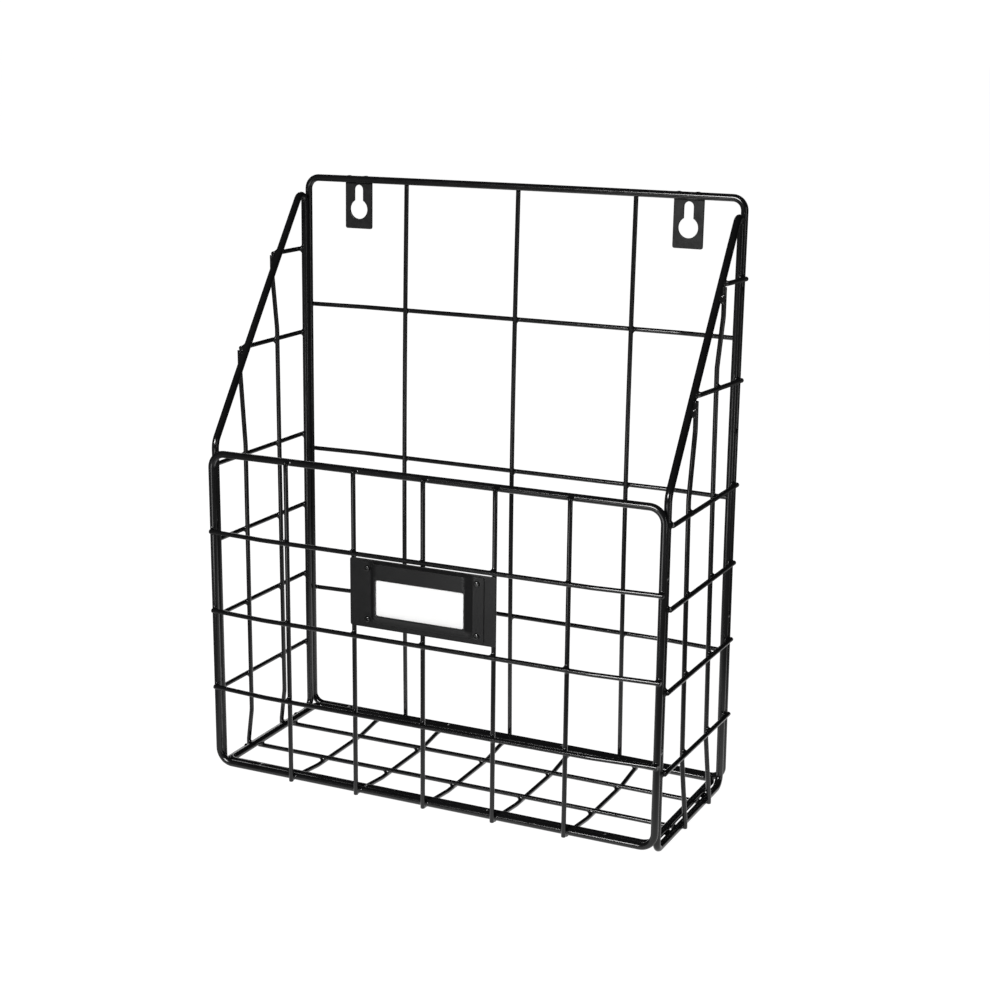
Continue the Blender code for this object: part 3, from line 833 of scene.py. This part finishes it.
def screw_mesh(cx, cz, turn):
    """Pan head with a cross recess, on a short shank."""
    r, h = SCREW_HEAD_D / 2, SCREW_HEAD_H
    seat = FLANGE_FRONT - TOUCH
    n = 48
    prof = [(r * 0.50, h), (r * 0.66, h * 0.965), (r * 0.80, h * 0.86), (r * 0.91, h * 0.66), (r * 0.975, h * 0.42), (r, h * 0.16), (r * 0.985, h * 0.04), (r * 0.93, 0.0),
            (SCREW_SHANK_D / 2, 0.0), (SCREW_SHANK_D / 2, -(PLATE_BACK + 0.0008 - seat))]
    verts, faces = [], []
    for pr, ph in prof:
        for k in range(n):
            a = k * 2 * pi / n
            verts.append((pr * cos(a), -ph, pr * sin(a)))
    for i in range(len(prof) - 1):
        for k in range(n):
            m = (k + 1) % n
            faces.append((i * n + k, i * n + m, (i + 1) * n + m, (i + 1) * n + k))
    faces.append(tuple((len(prof) - 1) * n + k for k in range(n)))
    # top face with a recessed cross
    w, l, depth = r * 0.13, r * 0.46, h * 0.62
    cross = [(w, w), (w, l), (-w, l), (-w, w), (-l, w), (-l, -w), (-w, -w), (-w, -l), (w, -l), (w, -w), (l, -w), (l, w)]
    base = len(verts)
    for x, z in cross:
        verts.append((x, -h, z))
    for x, z in cross:
        verts.append((x * 0.72, -(h - depth), z * 0.72))
    for k in range(12):
        m = (k + 1) % 12
        faces.append((base + k, base + m, base + 12 + m, base + 12 + k))
    faces.append(tuple(base + 12 + k for k in range(12)))
    # skin between the rim ring and the cross outline
    bm = bmesh.new()
    vs = [bm.verts.new(p) for p in verts]
    for f in faces:
        try:
            bm.faces.new([vs[i] for i in f])
        except ValueError:
            pass
    ring = [bm.edges.get((vs[k], vs[(k + 1) % n])) for k in range(n)]
    inner = [bm.edges.get((vs[base + k], vs[base + (k + 1) % 12])) for k in range(12)]
    bmesh.ops.triangle_fill(bm, use_beauty=True, edges=[e for e in ring + inner if e])
    bmesh.ops.recalc_face_normals(bm, faces=bm.faces)
    rot = Matrix.Rotation(turn, 4, "Y")
    for v in bm.verts:
        c = rot @ v.co
        v.co = Vector((c.x + cx, c.y + seat, c.z + cz + PLATE_Z))
    bm.verts.ensure_lookup_table()
    bm.verts.index_update()
    out_v = [tuple(v.co) for v in bm.verts]
    out_f = [tuple(v.index for v in f.verts) for f in bm.faces]
    bm.free()
    return out_v, out_f


for i, (x, z) in enumerate([(-SCREW_X, SCREW_Z), (SCREW_X, SCREW_Z), (-SCREW_X, -SCREW_Z), (SCREW_X, -SCREW_Z)]):
    v, f = screw_mesh(x, z, radians((20, 64, 41, 8)[i]))
    make_piece("label_screw_%d_head" % (i + 1), v, f, SCREW, "rack", ("label_screw_%d" % (i + 1),), angle=30)

# card: a sheet cut square, its corners just softened, standing in the pocket
CARD_Y = -(LAYER2 + NR + 0.0004 + CARD_T / 2)
e = 0.00007


def card_loop(inset, y):
    o = rrect(-CARD_W / 2 + inset, CARD_W / 2 - inset, inset, CARD_H - inset, 0.0004, 10, 4)
    return [(x, y, PLATE_Z + CARD_Z0 + z) for x, z in o]


loops = [card_loop(e, CARD_Y - CARD_T / 2), card_loop(0, CARD_Y - CARD_T / 2 + e), card_loop(0, CARD_Y + CARD_T / 2 - e), card_loop(e, CARD_Y + CARD_T / 2)]
n = len(loops[0])
verts = np.concatenate([np.array(l) for l in loops])
faces = [(i * n + k, i * n + (k + 1) % n, (i + 1) * n + (k + 1) % n, (i + 1) * n + k) for i in range(3) for k in range(n)]
faces += [tuple(range(n)), tuple(range(3 * n, 4 * n))[::-1]]
make_piece("label_card_sheet", verts, faces, CARD, "card", ("label_card",), angle=30, flat=True)

# ---------------------------------------------------------------- studio
scene = bpy.context.scene
FLOOR = bpy.data.materials.new("studio_floor")
FLOOR.use_nodes = True
nt = FLOOR.node_tree
b = nt.nodes["Principled BSDF"]
vec = tex_coord(nt)
nt.links.new(ramp(nt, noise(nt, vec, 3.0, 2.0), [(0.3, (0.15, 0.15, 0.15)), (0.7, (0.17, 0.17, 0.17))]), b.inputs["Base Color"])
b.inputs["Roughness"].default_value = 0.9
b.inputs["Specular IOR Level"].default_value = 0.1
b.inputs["Emission Color"].default_value = (1, 1, 1, 1)
seen = nt.nodes.new("ShaderNodeLightPath")
far = nt.nodes.new("ShaderNodeVectorMath")
far.operation = "LENGTH"
centre = nt.nodes.new("ShaderNodeVectorMath")
centre.operation = "SUBTRACT"
centre.inputs[1].default_value = (0.03, 0.12, 0.0)
nt.links.new(vec, centre.inputs[0])
nt.links.new(centre.outputs["Vector"], far.inputs[0])
glow = map_range(nt, far.outputs["Value"], 1.15, 0.05, 0.12, 0.42, loc=(-700, -300))
level = nt.nodes.new("ShaderNodeMix")
level.data_type = "FLOAT"
nt.links.new(seen.outputs["Is Camera Ray"], level.inputs[0])
nt.links.new(glow, level.inputs[2])
level.inputs[3].default_value = 1.0
nt.links.new(level.outputs[0], b.inputs["Emission Strength"])
me = bpy.data.meshes.new("studio_floor")
s = 30.0
me.from_pydata([(-s, -s, -0.0002), (s, -s, -0.0002), (s, s, -0.0002), (-s, s, -0.0002)], [], [(0, 1, 2, 3)])
me.materials.append(FLOOR)
floor = bpy.data.objects.new("studio_floor", me)
scene.collection.objects.link(floor)

world = bpy.data.worlds.new("studio_world")
scene.world = world
world.use_nodes = True
wn = world.node_tree
for nd in list(wn.nodes):
    wn.nodes.remove(nd)
out = wn.nodes.new("ShaderNodeOutputWorld")
mix = wn.nodes.new("ShaderNodeMixShader")
path = wn.nodes.new("ShaderNodeLightPath")
dim = wn.nodes.new("ShaderNodeBackground")
white = wn.nodes.new("ShaderNodeBackground")
dim.inputs["Color"].default_value = (0.02, 0.02, 0.021, 1)
dim.inputs["Strength"].default_value = 1.0
white.inputs["Color"].default_value = (1, 1, 1, 1)
white.inputs["Strength"].default_value = 1.05
wn.links.new(path.outputs["Is Camera Ray"], mix.inputs["Fac"])
wn.links.new(dim.outputs[0], mix.inputs[1])
wn.links.new(white.outputs[0], mix.inputs[2])
wn.links.new(mix.outputs[0], out.inputs["Surface"])


def area(name, where, target, w, h, power, col=(1, 1, 1)):
    li = bpy.data.lights.new(name, "AREA")
    li.shape = "RECTANGLE"
    li.size, li.size_y = w, h
    li.energy = power
    li.color = col
    ob = bpy.data.objects.new(name, li)
    scene.collection.objects.link(ob)
    ob.location = where
    ob.rotation_euler = (Vector(target) - Vector(where)).to_track_quat("-Z", "Y").to_euler()
    return ob


area("key_softbox", (-0.30, -2.6, 1.35), (0, 0, 0.2), 1.1, 0.7, 82)
area("fill_softbox", (2.4, -0.9, 0.35), (0, 0, 0.2), 0.35, 1.4, 5)
area("back_strip", (-1.5, 1.9, 1.0), (0, 0, 0.2), 0.3, 1.2, 3)
low = area("low_strip", (-0.06, -0.95, 0.004), (-0.06, -0.95, 1.0), 0.26, 0.90, 2.6)
low.rotation_euler = (pi, 0, radians(6))
low.visible_camera = False
side_strip = area("side_strip", (1.35, -0.24, 0.004), (1.35, -0.24, 1.0), 0.70, 0.20, 2.0)
side_strip.rotation_euler = (pi, 0, 0)
side_strip.visible_camera = False

# camera: the viewpoint from which this object is shown
cam_data = bpy.data.cameras.new("camera")
cam_data.sensor_width = 36.0
cam_data.lens = 1834.0 / 990.0 * 36.0
cam_data.clip_start, cam_data.clip_end = 0.05, 100.0
cam = bpy.data.objects.new("camera", cam_data)
scene.collection.objects.link(cam)
axis = Vector((1.7847, 0.4037, -0.2997))
R = Matrix.Rotation(axis.length, 3, axis.normalized())
rot = R.transposed() @ Matrix(((1, 0, 0), (0, -1, 0), (0, 0, -1)))
where = Vector((3.20008, -6.24343, 3.08971)) * 0.160 + Vector((0, Y_SHIFT, BASE_Z))
cam.matrix_world = Matrix.Translation(where) @ rot.to_4x4()
scene.camera = cam
scene.view_settings.view_transform = "Standard"
scene.view_settings.look = "None"
